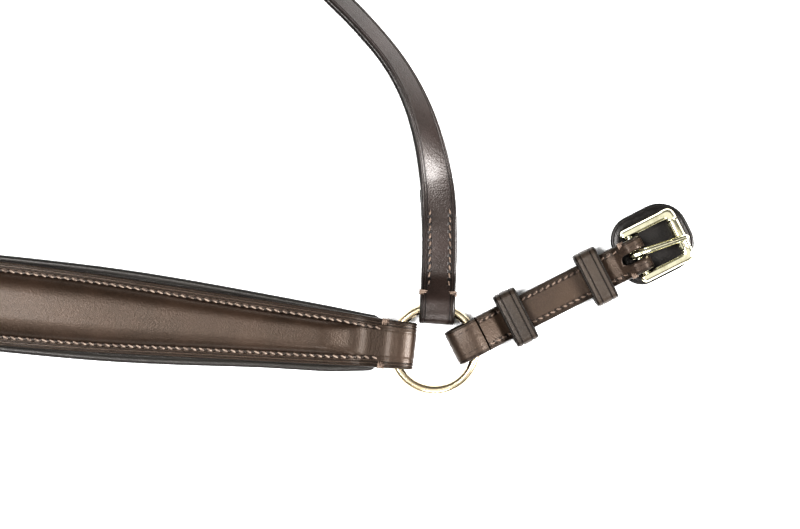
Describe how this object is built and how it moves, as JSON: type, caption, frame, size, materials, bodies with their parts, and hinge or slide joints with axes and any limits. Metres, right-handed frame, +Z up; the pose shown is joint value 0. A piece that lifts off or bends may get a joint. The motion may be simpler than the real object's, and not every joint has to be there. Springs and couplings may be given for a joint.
{
  "type": "breastplate martingale",
  "caption": "Leather breastplate with padded shoulder pieces joined by metal rings, a neck strap, buckled saddle straps, a girth strap and a running rein fork.",
  "frame": {"origin": "middle of the footprint on the surface it is laid on", "axes": "+Z up from the surface; +Y from the girth strap's end through the chest ring to the withers; +X to the side with the pointed half of the neck strap"},
  "size_m": [0.7912, 0.8612, 0.0152],
  "materials": {
    "leather_outer": "polished dark havana bridle leather",
    "leather_lining": "soft dark brown lining leather",
    "leather_guard": "smooth near-black leather",
    "padding": "soft felt",
    "thread_beige": "waxed linen thread",
    "ring_metal": "polished pale brass",
    "buckle_metal": "polished pale brass"
  },
  "bodies": {
    "chest_ring": {"chest_ring": "ring_metal"},
    "right_shoulder": {"right_shoulder_lining": "leather_lining", "right_shoulder_padding": "padding", "right_shoulder_face": "leather_outer", "right_shoulder_thread": "thread_beige"},
    "right_ring": {"right_shoulder_ring": "ring_metal"},
    "right_saddle": {"right_saddle_strap": "leather_outer", "right_saddle_thread": "thread_beige", "right_saddle_keeper_inner": "leather_outer", "right_saddle_keeper_outer": "leather_outer", "right_saddle_buckle_guard": "leather_guard"},
    "right_saddle_frame": {"right_saddle_buckle_frame": "buckle_metal"},
    "right_saddle_tongue": {"right_saddle_buckle_tongue": "buckle_metal"},
    "right_saddle_roller": {"right_saddle_buckle_roller": "buckle_metal"},
    "left_shoulder": {"left_shoulder_lining": "leather_lining", "left_shoulder_padding": "padding", "left_shoulder_face": "leather_outer", "left_shoulder_thread": "thread_beige"},
    "left_ring": {"left_shoulder_ring": "ring_metal"},
    "left_saddle": {"left_saddle_strap": "leather_outer", "left_saddle_thread": "thread_beige", "left_saddle_keeper_inner": "leather_outer", "left_saddle_keeper_outer": "leather_outer", "left_saddle_buckle_guard": "leather_guard"},
    "left_saddle_frame": {"left_saddle_buckle_frame": "buckle_metal"},
    "left_saddle_tongue": {"left_saddle_buckle_tongue": "buckle_metal"},
    "left_saddle_roller": {"left_saddle_buckle_roller": "buckle_metal"},
    "neck_billet": {"neck_billet_strap": "leather_outer", "neck_billet_strap_thread": "thread_beige"},
    "neck_buckle": {"neck_buckle_strap": "leather_outer", "neck_buckle_strap_thread": "thread_beige", "neck_keeper_inner": "leather_outer", "neck_keeper_outer": "leather_outer"},
    "neck_frame": {"neck_buckle_frame": "buckle_metal"},
    "neck_tongue": {"neck_buckle_tongue": "buckle_metal"},
    "neck_roller": {"neck_buckle_roller": "buckle_metal"},
    "girth": {"girth_strap": "leather_outer", "girth_thread": "thread_beige", "girth_chape": "leather_outer", "girth_keeper_inner": "leather_outer", "girth_keeper_outer": "leather_outer"},
    "girth_frame": {"girth_buckle_frame": "buckle_metal"},
    "girth_tongue": {"girth_buckle_tongue": "buckle_metal"},
    "girth_roller": {"girth_buckle_roller": "buckle_metal"},
    "fork": {"fork_strap": "leather_outer", "fork_thread": "thread_beige"},
    "right_rein_ring": {"right_rein_ring": "ring_metal"},
    "left_rein_ring": {"left_rein_ring": "ring_metal"}
  },
  "joints": [
    {"name": "right_shoulder_swing", "type": "hinge", "parent": "chest_ring", "child": "right_shoulder", "pos_m": [0, 0.03939, 0.0057], "axis": [0, 0, -1], "range_deg": [0, 20]},
    {"name": "right_ring_turn", "type": "hinge", "parent": "right_shoulder", "child": "right_ring", "pos_m": [0.33838, 0.30472, 0.0057], "axis": [0, 0, -1], "range_deg": [0, 60]},
    {"name": "right_saddle_strap_tip", "type": "hinge", "parent": "right_ring", "child": "right_saddle", "pos_m": [0.34842, 0.32143, 0.0057], "axis": [0.8572, -0.515, 0], "range_deg": [0, 45]},
    {"name": "right_saddle_buckle_tip", "type": "hinge", "parent": "right_saddle", "child": "right_saddle_frame", "pos_m": [0.37652, 0.40256, 0.00695], "axis": [0.9449, -0.3272, 0], "range_deg": [0, 45]},
    {"name": "right_saddle_tongue_lift", "type": "hinge", "parent": "right_saddle_frame", "child": "right_saddle_tongue", "pos_m": [0.37652, 0.40256, 0.00695], "axis": [0.9449, -0.3272, 0], "range_deg": [0, 70]},
    {"name": "right_saddle_roller_turn", "type": "hinge", "parent": "right_saddle_frame", "child": "right_saddle_roller", "pos_m": [0.38359, 0.42297, 0.00695], "axis": [0.9449, -0.3272, 0], "continuous": true},
    {"name": "left_shoulder_swing", "type": "hinge", "parent": "chest_ring", "child": "left_shoulder", "pos_m": [0, 0.03939, 0.0057], "axis": [0, 0, 1], "range_deg": [0, 20]},
    {"name": "left_ring_turn", "type": "hinge", "parent": "left_shoulder", "child": "left_ring", "pos_m": [-0.33838, 0.30472, 0.0057], "axis": [0, 0, 1], "range_deg": [0, 60]},
    {"name": "left_saddle_strap_tip", "type": "hinge", "parent": "left_ring", "child": "left_saddle", "pos_m": [-0.34842, 0.32143, 0.0057], "axis": [0.8572, 0.515, 0], "range_deg": [0, 45]},
    {"name": "left_saddle_buckle_tip", "type": "hinge", "parent": "left_saddle", "child": "left_saddle_frame", "pos_m": [-0.37652, 0.40256, 0.00695], "axis": [0.9449, 0.3272, 0], "range_deg": [0, 45]},
    {"name": "left_saddle_tongue_lift", "type": "hinge", "parent": "left_saddle_frame", "child": "left_saddle_tongue", "pos_m": [-0.37652, 0.40256, 0.00695], "axis": [0.9449, 0.3272, 0], "range_deg": [0, 70]},
    {"name": "left_saddle_roller_turn", "type": "hinge", "parent": "left_saddle_frame", "child": "left_saddle_roller", "pos_m": [-0.38359, 0.42297, 0.00695], "axis": [0.9449, 0.3272, 0], "continuous": true},
    {"name": "neck_billet_tip", "type": "hinge", "parent": "right_ring", "child": "neck_billet", "pos_m": [0.32582, 0.31963, 0.0057], "axis": [0.7649, 0.6441, 0], "range_deg": [0, 60]},
    {"name": "neck_buckle_strap_tip", "type": "hinge", "parent": "left_ring", "child": "neck_buckle", "pos_m": [-0.32582, 0.31963, 0.0057], "axis": [0.7649, -0.6441, 0], "range_deg": [0, 60]},
    {"name": "neck_buckle_frame_tip", "type": "hinge", "parent": "neck_buckle", "child": "neck_frame", "pos_m": [-0.0373, 0.39121, 0.00495], "axis": [0, -1, 0], "range_deg": [0, 45]},
    {"name": "neck_tongue_lift", "type": "hinge", "parent": "neck_frame", "child": "neck_tongue", "pos_m": [-0.0373, 0.39121, 0.00495], "axis": [0, -1, 0], "range_deg": [0, 70]},
    {"name": "neck_roller_turn", "type": "hinge", "parent": "neck_frame", "child": "neck_roller", "pos_m": [-0.0157, 0.39121, 0.00495], "axis": [0, -1, 0], "continuous": true},
    {"name": "girth_strap_tip", "type": "hinge", "parent": "chest_ring", "child": "girth", "pos_m": [0, 0.00939, 0.0057], "axis": [-1, 0, 0], "range_deg": [0, 60]},
    {"name": "girth_buckle_tip", "type": "hinge", "parent": "girth", "child": "girth_frame", "pos_m": [0, -0.13121, 0.00775], "axis": [-1, 0, 0], "range_deg": [0, 45]},
    {"name": "girth_tongue_lift", "type": "hinge", "parent": "girth_frame", "child": "girth_tongue", "pos_m": [0, -0.13121, 0.00775], "axis": [-1, 0, 0], "range_deg": [0, 70]},
    {"name": "girth_roller_turn", "type": "hinge", "parent": "girth_frame", "child": "girth_roller", "pos_m": [0, -0.15281, 0.00775], "axis": [-1, 0, 0], "continuous": true},
    {"name": "fork_tip", "type": "hinge", "parent": "chest_ring", "child": "fork", "pos_m": [0, 0.06939, 0.0057], "axis": [1, 0, 0], "range_deg": [0, 60]},
    {"name": "right_rein_ring_tip", "type": "hinge", "parent": "fork", "child": "right_rein_ring", "pos_m": [0.03927, 0.2873, 0.0057], "axis": [0.9877, -0.1564, 0], "range_deg": [0, 60]},
    {"name": "left_rein_ring_tip", "type": "hinge", "parent": "fork", "child": "left_rein_ring", "pos_m": [-0.03927, 0.2873, 0.0057], "axis": [0.9877, 0.1564, 0], "range_deg": [0, 60]}
  ]
}
